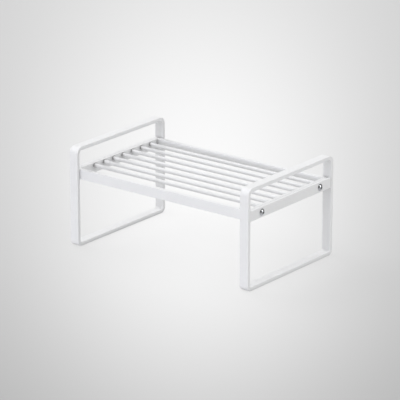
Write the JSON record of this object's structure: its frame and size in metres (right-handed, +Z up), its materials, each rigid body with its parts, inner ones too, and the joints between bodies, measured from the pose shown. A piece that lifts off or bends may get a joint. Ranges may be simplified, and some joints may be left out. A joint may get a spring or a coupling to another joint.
{
  "type": "organizer shelf",
  "caption": "Low white metal organizer shelf: a tray of parallel round rods, screwed between rounded end loops bent from flat bar.",
  "frame": {"origin": "on the floor, under the middle of the shelf, midway between the end loops and between their front and rear legs", "axes": "+X along the rods towards the right-hand loop as seen from the front, +Y from front to rear, +Z up"},
  "size_m": [0.4056, 0.25, 0.186],
  "materials": {
    "white_coat": "satin powder coat",
    "bright_plating": "polished"
  },
  "bodies": {
    "root": {"left_end_loop": "white_coat", "right_end_loop": "white_coat", "left_crossbar": "white_coat", "right_crossbar": "white_coat", "front_rail": "white_coat", "rear_rail": "white_coat", "left_tray_end_bar": "white_coat", "right_tray_end_bar": "white_coat", "rod_1": "white_coat", "rod_2": "white_coat", "rod_3": "white_coat", "rod_4": "white_coat", "rod_5": "white_coat", "rod_6": "white_coat", "rod_7": "white_coat", "left_front_screw": "bright_plating", "left_rear_screw": "bright_plating", "right_front_screw": "bright_plating", "right_rear_screw": "bright_plating"}
  },
  "joints": []
}
